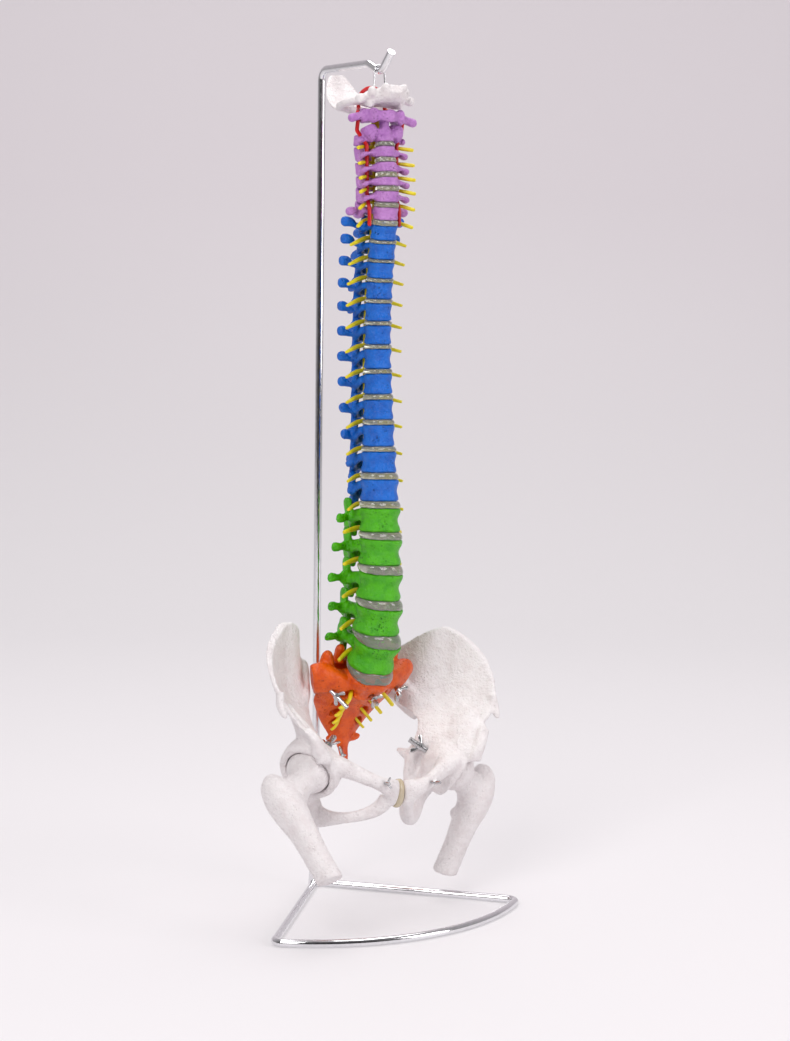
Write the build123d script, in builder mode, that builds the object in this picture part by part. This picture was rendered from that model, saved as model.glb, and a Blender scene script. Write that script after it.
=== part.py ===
"""Anatomy model of the vertebral column and pelvis, hung on a bent rod stand.

Life size, in millimetres. The origin is the pole's foot on the floor, +Z is
up, -Y is the front of the figure and +X is the figure's left side.
"""
import os
from dataclasses import dataclass
from math import asin, atan2, cos, degrees, pi, radians, sin, sqrt, tan

from build123d import *

os.makedirs("parts", exist_ok=True)

# Stand.
ROD = 8.0  # diameter of every bar of the stand
BASE_REACH = 215.8  # pole axis to the middle of the curved front bar
BASE_HALF_ANGLE = 41.5  # half of the sector, in degrees
BASE_CORNER = 9.0  # bend radius at the two front corners
SOCKET_FOOT = 14.0  # socket diameter at the floor
SOCKET_TOP = 11.5
SOCKET_BEVEL = 1.6
WELD = 0.8  # how far the bar reaches into the socket's wall
SOCKET_HEIGHT = 19.0
SOCKET_FLOOR = 3.0  # metal left under the pole
SOCKET_PLAY = 0.1  # radial clearance of the pole in its socket
ARM_HEIGHT = 840.0  # axis of the level arm
ARM_BEND = 11.0
ARM_END = 88.0  # where the arm starts to dip
SADDLE_REACH = 110.4  # corner of the dip, before it is rounded
SADDLE_HEIGHT = 830.1
TIP_REACH = 128.5
TIP_HEIGHT = 848.5

# Hanger wire and the plate it carries.
WIRE = 1.8
WIRE_PLAY = 0.3  # radial clearance of the wire on the rod and in its holes
WIRE_SPREAD = 7.8  # each leg to the middle plane, at the plate
WIRE_END = 801.0

# Gaps between neighbouring castings.
CAST_GAP = 0.5
CORD_PLAY = 0.4
ARTERY_PLAY = 0.4


def blend(a, b, t):
    """Value between a and b at the share t."""
    return a + (b - a) * t


def oval(plane, width, depth, square=1.0):
    """Rounded closed outline on a plane; square above 1 fills its corners."""
    with BuildSketch(plane) as outline:
        with BuildLine():
            points = []
            for i in range(8):
                reach = square if i % 2 else 1.0
                turn = pi * i / 4
                points.append((reach * width / 2 * cos(turn), reach * depth / 2 * sin(turn)))
            Spline(*points, periodic=True)
        make_face()
    return outline.sketch


def kidney(plane, width, depth):
    """Outline of a vertebral body: round in front, hollow towards the canal."""
    half = [(0.31, -0.44), (0.485, -0.14), (0.475, 0.18), (0.31, 0.46)]
    with BuildSketch(plane) as outline:
        with BuildLine():
            right = [(x * width, y * depth) for x, y in half]
            left = [(-x, y) for x, y in reversed(right)]
            Spline((0, -0.5 * depth), *right, (0, 0.4 * depth), *left, periodic=True)
        make_face()
    return outline.sketch


def limb(stations, side=(1, 0, 0), first=None, last=None, square=1.0):
    """Solid that follows a row of stations.

    A station is a centre, a width along the side direction and a depth across
    it. first and last replace the direction of the two end faces.
    """
    centres = [Vector(*place) for place, _, _ in stations]
    across = Vector(*side)
    outlines = []
    for i, (_, width, depth) in enumerate(stations):
        course = centres[min(i + 1, len(centres) - 1)] - centres[max(i - 1, 0)]
        if i == 0 and first:
            course = Vector(*first)
        if i == len(stations) - 1 and last:
            course = Vector(*last)
        course = course.normalized()
        x_dir = across - course * across.dot(course)
        outlines.append(oval(Plane(centres[i], x_dir=x_dir, z_dir=course), width, depth, square))
    with BuildPart(mode=Mode.PRIVATE) as piece:
        loft(sections=outlines)
    return piece.part


def pair(stations, side=(1, 0, 0), **options):
    """A limb and its mirror image on the other side of the middle plane."""
    one = limb(stations, side, **options)
    return [one, mirror(one, about=Plane.YZ, mode=Mode.PRIVATE)]


def finish(piece, name):
    """Name a finished piece and write its file."""
    piece.part.label = name
    export_step(piece.part, f"parts/{name}.step")

# Base: one bar bent as a sector, welded with the socket that holds the pole.
axis = ROD / 2
half = radians(BASE_HALF_ANGLE)
turned = asin(BASE_CORNER / (BASE_REACH - BASE_CORNER))
straight = sqrt((BASE_REACH - BASE_CORNER) ** 2 - BASE_CORNER**2)


def floor_point(reach, angle):
    """Point on the axis of the base bar, the angle counted from straight ahead."""
    return (reach * sin(angle), -reach * cos(angle), axis)


with BuildPart() as base_frame:
    bends = {}
    for s in (-1, 1):
        tangent = floor_point(straight, s * half)
        centre = floor_point(BASE_REACH - BASE_CORNER, s * (half - turned))
        outer = floor_point(BASE_REACH, s * (half - turned))
        swing = Vector(*tangent) - Vector(*centre) + (Vector(*outer) - Vector(*centre))
        middle = Vector(*centre) + swing.normalized() * BASE_CORNER
        bends[s] = (tangent, middle, outer)
    with BuildLine() as course:
        Line((0, 0, axis), bends[-1][0])
        ThreePointArc(*bends[-1])
        ThreePointArc(bends[-1][2], floor_point(BASE_REACH, 0), bends[1][2])
        ThreePointArc(*reversed(bends[1]))
        Line(bends[1][0], (0, 0, axis))
    away = Vector(*bends[-1][0]) - Vector(0, 0, axis)
    with BuildSketch(Plane((0, 0, axis), z_dir=away)):
        Circle(ROD / 2)
    sweep(path=course.wires()[0], transition=Transition.RIGHT)
    Cylinder(SOCKET_FOOT / 2 - WELD, 4 * ROD, mode=Mode.SUBTRACT)
    with BuildSketch(Plane.XZ):
        with BuildLine():
            Polyline(
                (0, 0), (SOCKET_FOOT / 2 - SOCKET_BEVEL, 0), (SOCKET_FOOT / 2, SOCKET_BEVEL),
                (SOCKET_TOP / 2, SOCKET_HEIGHT), (0, SOCKET_HEIGHT), close=True,
            )
        make_face()
    revolve(axis=Axis.Z)
    with Locations((0, 0, SOCKET_FLOOR)):
        Cylinder(
            ROD / 2 + SOCKET_PLAY, ARM_HEIGHT, align=(Align.CENTER, Align.CENTER, Align.MIN),
            mode=Mode.SUBTRACT,
        )
finish(base_frame, "base_frame")

# Pole: one rod, bent to a level arm that ends in a saddle and a raised tip.
with BuildPart() as pole:
    with BuildLine(Plane.YZ) as course:
        FilletPolyline(
            (0, SOCKET_FLOOR), (0, ARM_HEIGHT), (-ARM_END, ARM_HEIGHT),
            (-SADDLE_REACH, SADDLE_HEIGHT), (-TIP_REACH, TIP_HEIGHT), radius=ARM_BEND,
        )
    with BuildSketch(Plane.XY.offset(SOCKET_FLOOR)):
        Circle(ROD / 2)
    sweep(path=course.wires()[0])
finish(pole, "pole")

# Hanger: a wire bent over the saddle, both legs going down into the plate.
wrap = ROD / 2 + WIRE_PLAY + WIRE / 2
dip = atan2(ARM_HEIGHT - SADDLE_HEIGHT, SADDLE_REACH - ARM_END)
rise = atan2(TIP_HEIGHT - SADDLE_HEIGHT, TIP_REACH - SADDLE_REACH)
to_centre = ARM_BEND / cos((dip + rise) / 2)
wire_reach = SADDLE_REACH - to_centre * sin((rise - dip) / 2)
wire_top = SADDLE_HEIGHT + to_centre * cos((rise - dip) / 2) - ARM_BEND


def hanger(thickness, drop):
    """The bent wire, or with more thickness the room that it needs."""
    with BuildPart(mode=Mode.PRIVATE) as wire:
        foot = WIRE_SPREAD + (WIRE_SPREAD - wrap) * drop / (wire_top - WIRE_END)
        with BuildLine(Plane.XZ.offset(wire_reach)) as course:
            FilletPolyline(
                (-foot, WIRE_END - drop), (-wrap, wire_top), (-wrap, wire_top + wrap),
                (wrap, wire_top + wrap), (wrap, wire_top), (foot, WIRE_END - drop),
                radius=wrap - 0.02,
            )
        start = course.wires()[0]
        with BuildSketch(Plane(start @ 0, z_dir=start % 0)):
            Circle(thickness / 2)
        sweep(path=start)
    return wire.part


with BuildPart() as hanger_wire:
    add(hanger(WIRE, 0))
finish(hanger_wire, "hanger_wire")

@dataclass
class Disc:
    """Middle of one disc on the middle plane, with its height and side list."""

    name: str
    y: float
    z: float
    height: float
    side_list: float = 0.0
    x: float = 0.0
    lean: float = 0.0
    wedge: float = 0.0  # how far the two bodies lean apart, in degrees


# Every disc from the axis down to the sacrum. The curve is the figure's own.
DISCS = [
    Disc("c2_c3", -118.0, 760.9, 4.6),
    Disc("c3_c4", -120.6, 746.0, 5.0),
    Disc("c4_c5", -122.6, 732.0, 5.2),
    Disc("c5_c6", -123.8, 719.0, 5.0),
    Disc("c6_c7", -123.2, 703.7, 4.8),
    Disc("c7_t1", -120.6, 686.8, 5.5),
    Disc("t1_t2", -117.2, 668.6, 3.6),
    Disc("t2_t3", -114.6, 650.2, 3.6),
    Disc("t3_t4", -112.6, 631.4, 4.2),
    Disc("t4_t5", -111.2, 611.1, 4.4),
    Disc("t5_t6", -110.4, 589.5, 4.6),
    Disc("t6_t7", -110.2, 566.5, 4.8),
    Disc("t7_t8", -110.9, 542.4, 5.2),
    Disc("t8_t9", -112.0, 517.5, 5.8, 0.5),
    Disc("t9_t10", -113.0, 492.8, 5.6, 1.0),
    Disc("t10_t11", -114.0, 466.5, 5.6, 1.5),
    Disc("t11_t12", -115.6, 440.1, 7.0, 2.0),
    Disc("t12_l1", -117.4, 412.1, 7.0, 2.5),
    Disc("l1_l2", -118.8, 382.0, 7.2, 3.0),
    Disc("l2_l3", -118.5, 349.1, 8.6, 3.5, 0.6),
    Disc("l3_l4", -115.8, 315.0, 8.4, 4.3, 1.4),
    Disc("l4_l5", -109.9, 280.4, 9.4, 5.0, 2.4),
    Disc("l5_s1", -100.5, 243.4, 10.0, 6.1, 3.6),
]
SACRAL_SLOPE = 33.0  # forward tilt of the sacrum's top, in degrees
for i in range(1, len(DISCS) - 1):
    above, below = DISCS[i - 1], DISCS[i + 1]
    DISCS[i].lean = degrees(atan2(below.y - above.y, above.z - below.z))
DISCS[0].lean = DISCS[1].lean
DISCS[-1].lean = SACRAL_SLOPE

# Bodies of the vertebrae, top to bottom: width and depth.
BODY_SIZES = {
    "c3": (20.5, 15.0), "c4": (22.0, 15.5), "c5": (23.5, 16.0), "c6": (25.0, 17.0), "c7": (26.0, 17.5),
    "t1": (27.5, 18.5), "t2": (28.0, 20.0), "t3": (27.5, 21.0), "t4": (27.0, 22.0), "t5": (26.5, 22.5),
    "t6": (26.5, 23.0), "t7": (27.0, 24.0), "t8": (28.0, 25.0), "t9": (30.0, 25.5), "t10": (32.5, 26.0),
    "t11": (36.0, 28.0), "t12": (39.5, 30.0), "l1": (42.0, 32.0), "l2": (44.0, 34.0),
    "l3": (46.0, 35.5),
    "l4": (49.0, 37.5), "l5": (50.0, 38.0),
}
AXIS_BODY = (19.0, 14.5)
SACRUM_BODY = (50.0, 36.0)
RIM = 0.97  # outline of an end face against the widest line of the body
WAIST = 0.86
CANAL_BEHIND = 8.0  # middle of the canal behind a body

# Tips of the transverse processes: span to one side, way back from the body's
# middle, and way up.
TRANSVERSE = {
    "t1": (35.0, 22.0, 6.5), "t2": (33.0, 23.0, 8.0), "t3": (31.0, 26.0, 6.0), "t4": (30.0, 27.0, 5.0),
    "t5": (29.0, 28.0, 4.0), "t6": (28.0, 28.5, 3.0), "t7": (27.5, 29.0, 2.5), "t8": (27.0, 29.5, 2.5),
    "t9": (26.0, 29.0, 1.5), "t10": (25.0, 28.0, 1.0), "t11": (21.0, 26.0, -3.0),
    "t12": (19.5, 26.0, -2.0),
    "l1": (35.0, 25.0, 0.0), "l2": (40.0, 26.5, 1.0), "l3": (44.0, 27.0, 2.0), "l4": (42.0, 28.0, 4.0),
    "l5": (44.0, 27.0, 3.0),
}


for i, disc in enumerate(DISCS):
    upper_lean = (DISCS[max(i - 1, 0)].lean + disc.lean) / 2
    lower_lean = (disc.lean + DISCS[min(i + 1, len(DISCS) - 1)].lean) / 2
    disc.wedge = lower_lean - upper_lean


@dataclass
class Vertebra:
    """One vertebra between two discs, seen in its own level frame."""

    name: str
    above: Disc
    below: Disc
    width: float
    depth: float

    @property
    def height(self):
        """Height of the body between both discs."""
        apart = sqrt((self.above.y - self.below.y) ** 2 + (self.above.z - self.below.z) ** 2)
        return apart - (self.above.height + self.below.height) / 2

    @property
    def place(self):
        """Location of the body's middle."""
        lean = (self.above.lean + self.below.lean) / 2
        down = (self.above.height - self.below.height) / 4
        middle_y = (self.above.y + self.below.y) / 2 + down * sin(radians(lean))
        middle_z = (self.above.z + self.below.z) / 2 - down * cos(radians(lean))
        turn = (self.above.side_list + self.below.side_list) / 2
        return Location(((self.above.x + self.below.x) / 2, middle_y, middle_z), (lean, turn, 0))

    def limit(self, top, behind):
        """Height of the neighbour's border, at a distance behind the body."""
        disc = self.above if top else self.below
        room = self.height / 2 + disc.height / 2 - behind * tan(radians(disc.wedge)) / 2
        return room if top else -room

    def end_face(self, top, share=RIM, lift=0.0):
        """Outline of the upper or lower end face in the shared frame."""
        z = (self.height / 2 + lift) * (1 if top else -1)
        face = kidney(Plane.XY.offset(z), self.width * share, self.depth * share)
        return self.place * face


COLUMN = [
    Vertebra(name, DISCS[i], DISCS[i + 1], *BODY_SIZES[name]) for i, name in enumerate(BODY_SIZES)
]


def body(width, depth, height, waist=WAIST):
    """Vertebral body: two rims with a waist between them."""
    lip = height * 0.12
    with BuildPart(mode=Mode.PRIVATE) as piece:
        rows = [
            (height / 2, RIM), (height / 2 - lip, 1.0), (0, waist), (lip - height / 2, 1.0),
            (-height / 2, RIM),
        ]
        loft(sections=[kidney(Plane.XY.offset(z), width * k, depth * k) for z, k in rows])
    return piece.part


def lumbar(v):
    """Pieces of a lumbar vertebra in its level frame."""
    w, d, h = v.width, v.depth, v.height
    back = d / 2
    upper = v.limit(True, back + 15)
    lower = v.limit(False, back + 18)
    span, far, up = TRANSVERSE[v.name]
    wide = 8.0 + (w - 42.0) * 0.3
    pieces = [body(w, d, h)]
    spine = [
        ((0, back + 16.5, -3), 15, 7), ((0, back + 24, -4.5), 17, 6), ((0, back + 34, -6), 17.5, 5.6),
        ((0, back + 43, -7.2), 19, 7), ((0, back + 48, -8.2), 12, 5),
    ]
    pieces += pair([
        ((0.32 * w, 0.36 * d, 3.4), 13, wide), ((0.34 * w, back + 5, 3.4), 12, wide),
        ((0.31 * w, back + 14, 0.0), 13, 7.5), ((0.12 * w, back + 20, -3.0), 16, 6.5),
        ((1.2, back + 22, -4.0), 17, 6.0),
    ], side=(0, 0, 1))
    pieces.append(limb(spine, side=(0, 0, 1)))
    pieces += pair([
        ((0.43 * w, back + 16, upper + 5.5), 4, 6), ((0.43 * w, back + 16, upper + 3.5), 6.2, 11.5),
        ((0.42 * w, back + 16, upper - 4), 6.8, 12), ((0.34 * w, back + 16, 0), 8, 10),
        ((0.22 * w, back + 18.5, lower + 4), 6.2, 10), ((0.20 * w, back + 19, lower - 2.5), 5.6, 10),
        ((0.20 * w, back + 19, lower - 4.2), 4, 6),
    ])
    pieces += pair([
        ((0.36 * w, back + 11, 2.0), 11, 9),
        ((blend(0.36 * w, span, 0.45), blend(back + 11, far + 2, 0.6), blend(2, up, 0.5)), 8.5, 5.5),
        ((span - 5, far, up), 10, 5.5), ((span - 1.5, far, up), 9, 4.5), ((span, far, up), 4, 2.5),
    ], side=(0, 0, 1))
    return pieces


def thoracic(v):
    """Pieces of a thoracic vertebra in its level frame."""
    w, d, h = v.width, v.depth, v.height
    back = d / 2
    upper = v.limit(True, back + 11)
    lower = v.limit(False, back + 17)
    span, far, up = TRANSVERSE[v.name]
    low = v.name in ("t11", "t12")
    club, knob = (8.5, 2.5) if low else (10.5, 4.0)
    droop = {"t1": 8.0, "t2": 12.0, "t11": 14.0, "t12": 9.0}.get(v.name, 24.0)
    reach = 30.0 if not low else 26.0
    hook = 0.20 if v.name == "t12" else 0.31
    pieces = [body(w, d, h, 0.9)]
    pieces += pair([
        ((0.30 * w, 0.34 * d, 0.2 * h), 0.46 * h, 6.5), ((0.33 * w, back + 4, 0.2 * h), 0.44 * h, 5.5),
        ((0.34 * w, back + 12, 0.0), 0.56 * h, 6), ((0.16 * w, back + 17, -0.1 * h), 0.66 * h, 5),
        ((1.5, back + 18.5, -0.14 * h), 0.68 * h, 5),
    ], side=(0, 0, 1))
    pieces += pair([
        ((0.37 * w, back + 11, upper + 4), 5, 2.3), ((0.37 * w, back + 11, upper + 2.5), 8, 3.8),
        ((0.37 * w, back + 12, upper - 3), 8.5, 5.5), ((0.34 * w, back + 14, 0), 8.7, 6.3),
        ((hook * w, back + 17, lower + 3), 8, 5), ((hook * w, back + 18, lower - 2), 7, 4),
        ((hook * w, back + 18, lower - 3.6), 4.5, 2.5),
    ])
    if low:
        pieces += pair([
            ((0.30 * w, back + 12, 0), 9, 8),
            ((blend(0.30 * w, span, 0.6), back + 12.5, 0.5 * up), 8, 8),
            ((span, back + 13, up), 5, 5),
        ], side=(0, 0, 1))
        pieces += pair([((0.36 * w, back + 13, 1), 7, 7), ((0.38 * w, back + 14, 5), 6, 6),
            ((0.38 * w, back + 14.5, 7.5), 3, 3)])
    else:
        pieces += pair([
            ((0.30 * w, back + 12, 0.1 * h), 9.5, 8),
            ((blend(0.30 * w, span, 0.5), blend(back + 12, far, 0.6), up - 2.0), 7, 7),
            ((span - knob, far, up), club, club - 1),
            ((span - 1, far + 0.3, up), club - 1.5, club - 2.5), ((span + 0.6, far + 0.5, up), 4.5, 4),
        ], side=(0, 0, 1))
    pieces.append(limb([
        ((0, back + 18.5, -0.14 * h), 11, 9),
        ((0, back + 15 + 0.45 * reach, -0.14 * h - 0.4 * droop), 9.5, 5.5),
        ((0, back + 15 + 0.9 * reach, -0.14 * h - 0.93 * droop), 8, 5.5),
        ((0, back + 15 + reach, -0.14 * h - droop), 4, 3.5),
    ], side=(0, 0, 1)))
    return pieces


ARTERY_ASIDE = 17.0  # artery to the middle plane beside the neck


def cervical(v):
    """Pieces of a cervical vertebra in its level frame."""
    w, d, h = v.width, v.depth, v.height
    back = d / 2
    upper = v.limit(True, back + 12) - CAST_GAP
    lower = v.limit(False, back + 12) + (3.5 if v.name == "c7" else 1.6 * CAST_GAP)
    last = v.name == "c7"
    slope = (0, -sin(radians(28)), cos(radians(28)))
    pieces = [body(w, d, h, 0.93)]
    pieces += pair([
        ((0.36 * w, 0.25 * d, 0.8), 5, 6), ((13.5, back + 4, 0.6), 4.6, 5),
        ((17, back + 10, 0.4), 5.5, 6.5),
    ], side=(0, 0, 1))
    pieces += pair([
        ((17.5, back + 10.5, lower + 0.1), 10.6, 10.6),
        ((17.8, back + 11, (lower + upper) / 2), 9.5, 9.5),
        ((17.5, back + 11.5, upper - 0.1), 10.6, 10.6),
    ], first=slope, last=slope)
    pieces += pair([
        ((16.5, back + 13, 0.5), 7.4, 6), ((10, back + 17.5, -0.2), 8.2, 4.5),
        ((1.2, back + 21, -1.5), 8.8, 5),
    ], side=(0, 0, 1))
    if last:
        pieces += pair([
            ((17, back + 10, 0), 9, 8), ((25, back + 9, 0), 7, 7.5), ((33, back + 7, -1), 8, 8),
            ((35, back + 7, -1), 4, 4),
        ], side=(0, 0, 1))
    else:
        pieces += pair([
            ((0.38 * w, 1.5, 0.3), 3.6, 9), ((17, 3, -0.9), 4.2, 10.5), ((22.5, 4, -2.2), 5.5, 11),
            ((25.5, 4.5, -3.0), 6.5, 9), ((27, 5, -3.2), 3.5, 5),
        ], side=(0, 0, 1))
    if last:
        pieces.append(limb([
            ((0, back + 19, -1.5), 11, 7), ((0, back + 33, -4), 8, 5), ((0, back + 46, -7), 8.5, 7),
            ((0, back + 48.5, -7.5), 4, 4),
        ], side=(0, 0, 1)))
    else:
        pieces.append(limb([((0, back + 19, -1.5), 11, 7), ((0, back + 28, -3), 7, 6)], side=(0, 0, 1)))
        pieces += pair([
            ((1.2, back + 26, -2.8), 6, 4), ((3.2, back + 33, -4.0), 5.5, 4),
            ((4.0, back + 35.5, -4.4), 3, 2.5),
        ], side=(0, 0, 1))
    return pieces


# Vertebral arteries: one tube up both sides of the neck, joined over the plate.
ARTERY = 4.0
ARCH_ASIDE = 15.0
ARCH_FOOT = 801.5


def artery(thickness):
    """The tube, or with more thickness the room that it needs."""
    climb = [
        (ARTERY_ASIDE, -119.5, 682.5), (ARTERY_ASIDE, -117.5, 760.0), (25.5, -112.5, 774.0),
        (25.5, -109.5, 791.0), (ARCH_ASIDE, -94.0, 795.5),
    ]
    foot = (-ARCH_ASIDE, -94.0, ARCH_FOOT)
    with BuildPart(mode=Mode.PRIVATE) as tube:
        with BuildLine() as course:
            FilletPolyline(*[(-x, y, z) for x, y, z in climb], foot, radius=3.2)
            ThreePointArc(foot, (0, -94.0, ARCH_FOOT + ARCH_ASIDE), (ARCH_ASIDE, -94.0, ARCH_FOOT))
            FilletPolyline((ARCH_ASIDE, -94.0, ARCH_FOOT), *reversed(climb), radius=3.2)
        path = course.wires()[0]
        with BuildSketch(Plane(path @ 0, z_dir=path % 0)):
            Circle(thickness / 2)
        sweep(path=path)
    return tube.part


with BuildPart() as vertebral_arteries:
    add(artery(ARTERY))
    ends = vertebral_arteries.faces().sort_by(Axis.Z)[:2]
    fillet([edge for face in ends for edge in face.edges()], ARTERY * 0.45)
finish(vertebral_arteries, "vertebral_arteries")
artery_room = artery(ARTERY + 2 * ARTERY_PLAY)


for v in COLUMN:
    if v.name[0] == "c":
        pieces = cervical(v)
    elif v.name[0] == "t":
        pieces = thoracic(v)
    else:
        pieces = lumbar(v)
    with BuildPart() as vertebra:
        with Locations(v.place):
            one_by_one = v.name in ("t11", "t12")
            for batch in pieces if one_by_one else [pieces]:
                add(batch)
        if v.name[0] == "c":
            add(artery_room, mode=Mode.SUBTRACT)
    finish(vertebra, v.name)

# Axis and atlas, the two vertebrae without a common shape.
AXIS_PLACE = Location((0, -117.2, 770.0), (DISCS[0].lean, 0, 0))
AXIS_FOOT = -(770.0 - DISCS[0].z) + DISCS[0].height / 2  # lower face in its own frame
ATLAS_PLACE = Location((0, -112.0, 787.8), (0, 1.5, 0))

with BuildPart() as axis_bone:
    w, d = AXIS_BODY
    with BuildPart(mode=Mode.PRIVATE) as trunk:
        rows = [(AXIS_FOOT, RIM), (AXIS_FOOT + 1.6, 1.0), (-1, 0.9), (6, 0.8)]
        loft(sections=[kidney(Plane.XY.offset(z), w * k, d * k) for z, k in rows])
    pieces = [trunk.part]
    pieces.append(limb([
        ((0, 0, 3), 14, 12), ((0, -1.2, 9.5), 9.5, 9.5), ((0, -1.8, 15), 10.5, 10),
        ((0, -1.6, 20), 8, 8.5), ((0, -1.4, 22.5), 4, 4.5),
    ]))
    pieces += pair([((9, 1, -3), 12, 12), ((14.5, 3, 3), 17, 16), ((16, 4, 8.6), 15, 15)])
    pieces += pair([
        ((11, 5, -1), 7, 6), ((17, 15, -1), 9, 7), ((10, 23.5, -2), 12.5, 6), ((1.2, 28, -4), 13, 6.5),
    ], side=(0, 0, 1))
    pieces += pair([((17.5, 18.5, 3), 9, 9),
        ((17.5, 19.5, AXIS_FOOT - DISCS[0].height / 2 + 3.4 * CAST_GAP), 11, 10)])
    pieces += pair([
        ((11, 4, -2), 7, 9), ((20, 5.5, -3), 6.5, 9.5), ((26, 7, -5), 5.5, 6),
        ((27.5, 7.5, -5.5), 3, 3),
    ], side=(0, 0, 1))
    pieces.append(limb([((0, 25, -4), 14, 9), ((0, 36, -7), 11, 8)], side=(0, 0, 1)))
    pieces += pair([
        ((1.5, 33, -6.5), 10, 6), ((4.5, 42, -9.5), 9, 6), ((5.5, 44.5, -10), 4, 3),
    ], side=(0, 0, 1))
    with Locations(AXIS_PLACE):
        add(pieces)
    add(artery_room, mode=Mode.SUBTRACT)
finish(axis_bone, "c2")

with BuildPart() as atlas:
    pieces = pair([((16.5, -1, -5.9), 12, 15), ((18, 0, 0), 12.5, 17), ((17, 0, 5.8), 12, 17)])
    pieces.append(limb([
        ((-17, -6, 0), 11, 7), ((-10, -13.5, 0), 10, 5), ((-4, -16.2, 0), 11.5, 5.5),
        ((0, -16.8, 0), 12.5, 6.5),
        ((4, -16.2, 0), 11.5, 5.5), ((10, -13.5, 0), 10, 5), ((17, -6, 0), 11, 7),
    ], side=(0, 0, 1)))
    pieces += pair([
        ((17, 4, 0), 8, 7), ((19.5, 13, 0.5), 6.5, 5), ((14.5, 22.5, 0.5), 7, 4.8),
        ((5, 28.6, 0.5), 8.5, 5),
    ], side=(0, 0, 1))
    pieces.append(limb([
        ((-7, 28, 0.5), 7.5, 4.6), ((0, 30, 0.5), 10, 6.5), ((7, 28, 0.5), 7.5, 4.6),
    ], side=(0, 0, 1)))
    pieces += pair([
        ((20, 0, 0), 10, 13), ((27, 0.5, -1.5), 8, 12), ((33, -1.5, -3), 8.5, 8),
        ((37, -2.5, -4), 7.5, 7), ((38.5, -2.5, -4.2), 3.5, 3.5),
    ], side=(0, 0, 1))
    with Locations(ATLAS_PLACE):
        add(pieces)
    add(artery_room, mode=Mode.SUBTRACT)
finish(atlas, "c1")

# Plate from the skull's base: a block over the atlas, a ring and a tongue.
CONDYLE_FOOT = 796.4
with BuildPart() as occipital_plate:
    pieces = [
        limb([
            ((0, -101.5, 803.5), 40, 9), ((0, -107, 804), 46, 14), ((0, -116, 805.5), 46, 15),
            ((0, -125, 807.5), 38, 14),
            ((0, -133, 811), 25, 12), ((0, -138, 813), 16, 8),
        ], square=1.08),
        limb([
            ((0, -68, 797), 44, 8), ((0, -60, 798.5), 46, 6.5), ((0, -50, 804), 45, 5.5),
            ((0, -41, 812), 40, 5), ((0, -34.5, 821), 32, 4.5),
            ((0, -30.5, 829), 23, 4), ((0, -29, 833), 14, 3),
        ], square=1.06),
    ]
    pieces += pair([
        ((18, -109, 803), 9, 12), ((25.5, -100, 802), 8, 10), ((27.5, -88, 800.5), 7, 9),
        ((24, -75, 799), 7, 9), ((12, -66, 797.5), 7.5, 10),
    ], side=(0, 0, 1))
    pieces += pair([((15.5, -113, 803), 13, 20), ((16.8, -112, CONDYLE_FOOT), 9, 16)])
    pieces += pair([
        ((20, -114, 804), 9, 12), ((27, -117, 804), 9, 10), ((31, -119, 803), 8, 8),
        ((32.5, -119.5, 803), 4, 4),
    ], side=(0, 0, 1))
    pieces += pair([((9, -131, 811), 8, 8), ((10, -135.5, 815), 7.5, 7), ((10.2, -137.5, 817), 4, 4)])
    pieces += pair([((17, -122, 808), 8, 9), ((19.5, -126, 812.5), 7, 8), ((20, -127, 814.5), 3.5, 4)])
    add(pieces)
    add(hanger(WIRE + 2 * WIRE_PLAY, 2.5), mode=Mode.SUBTRACT)
    add(artery_room, mode=Mode.SUBTRACT)
finish(occipital_plate, "occipital_plate")

# Discs: clear castings between the end faces of neighbouring bodies.
SACRUM_PLACE = Location(
    (
        DISCS[-1].x,
        DISCS[-1].y + DISCS[-1].height / 2 * sin(radians(SACRAL_SLOPE)),
        DISCS[-1].z - DISCS[-1].height / 2 * cos(radians(SACRAL_SLOPE)),
    ),
    (SACRAL_SLOPE, DISCS[-1].side_list, 3.0),
)
BULGE = 1.035  # widest line of a disc against the body's own width
for i, disc in enumerate(DISCS):
    if i:
        upper_face = COLUMN[i - 1].end_face(False)
        w, d = COLUMN[i - 1].width, COLUMN[i - 1].depth
        upper_middle = COLUMN[i - 1].place * Location((0, 0, -COLUMN[i - 1].height / 2))
    else:
        w, d = AXIS_BODY
        upper_face = AXIS_PLACE * kidney(Plane.XY.offset(AXIS_FOOT), w * RIM, d * RIM)
        upper_middle = AXIS_PLACE * Location((0, 0, AXIS_FOOT))
    if i < len(COLUMN):
        lower_face = COLUMN[i].end_face(True)
        w, d = (w + COLUMN[i].width) / 2, (d + COLUMN[i].depth) / 2
        lower_middle = COLUMN[i].place * Location((0, 0, COLUMN[i].height / 2))
    else:
        w, d = (w + SACRUM_BODY[0]) / 2, (d + SACRUM_BODY[1]) / 2
        lower_face = SACRUM_PLACE * kidney(Plane.XY, SACRUM_BODY[0] * RIM, SACRUM_BODY[1] * RIM)
        lower_middle = SACRUM_PLACE
    centre = (upper_middle.position + lower_middle.position) / 2
    turn = (upper_middle.orientation + lower_middle.orientation) / 2
    belt = Location(centre, turn) * kidney(Plane.XY, w * BULGE, d * BULGE)
    with BuildPart() as cushion:
        loft(sections=[lower_face, belt, upper_face])
        if disc.name == "l3_l4":
            with Locations(Location(centre, turn) * Location((-0.32 * w, 0.43 * d, 0))):
                Sphere(3.0)
    finish(cushion, "disc_" + disc.name)

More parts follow.
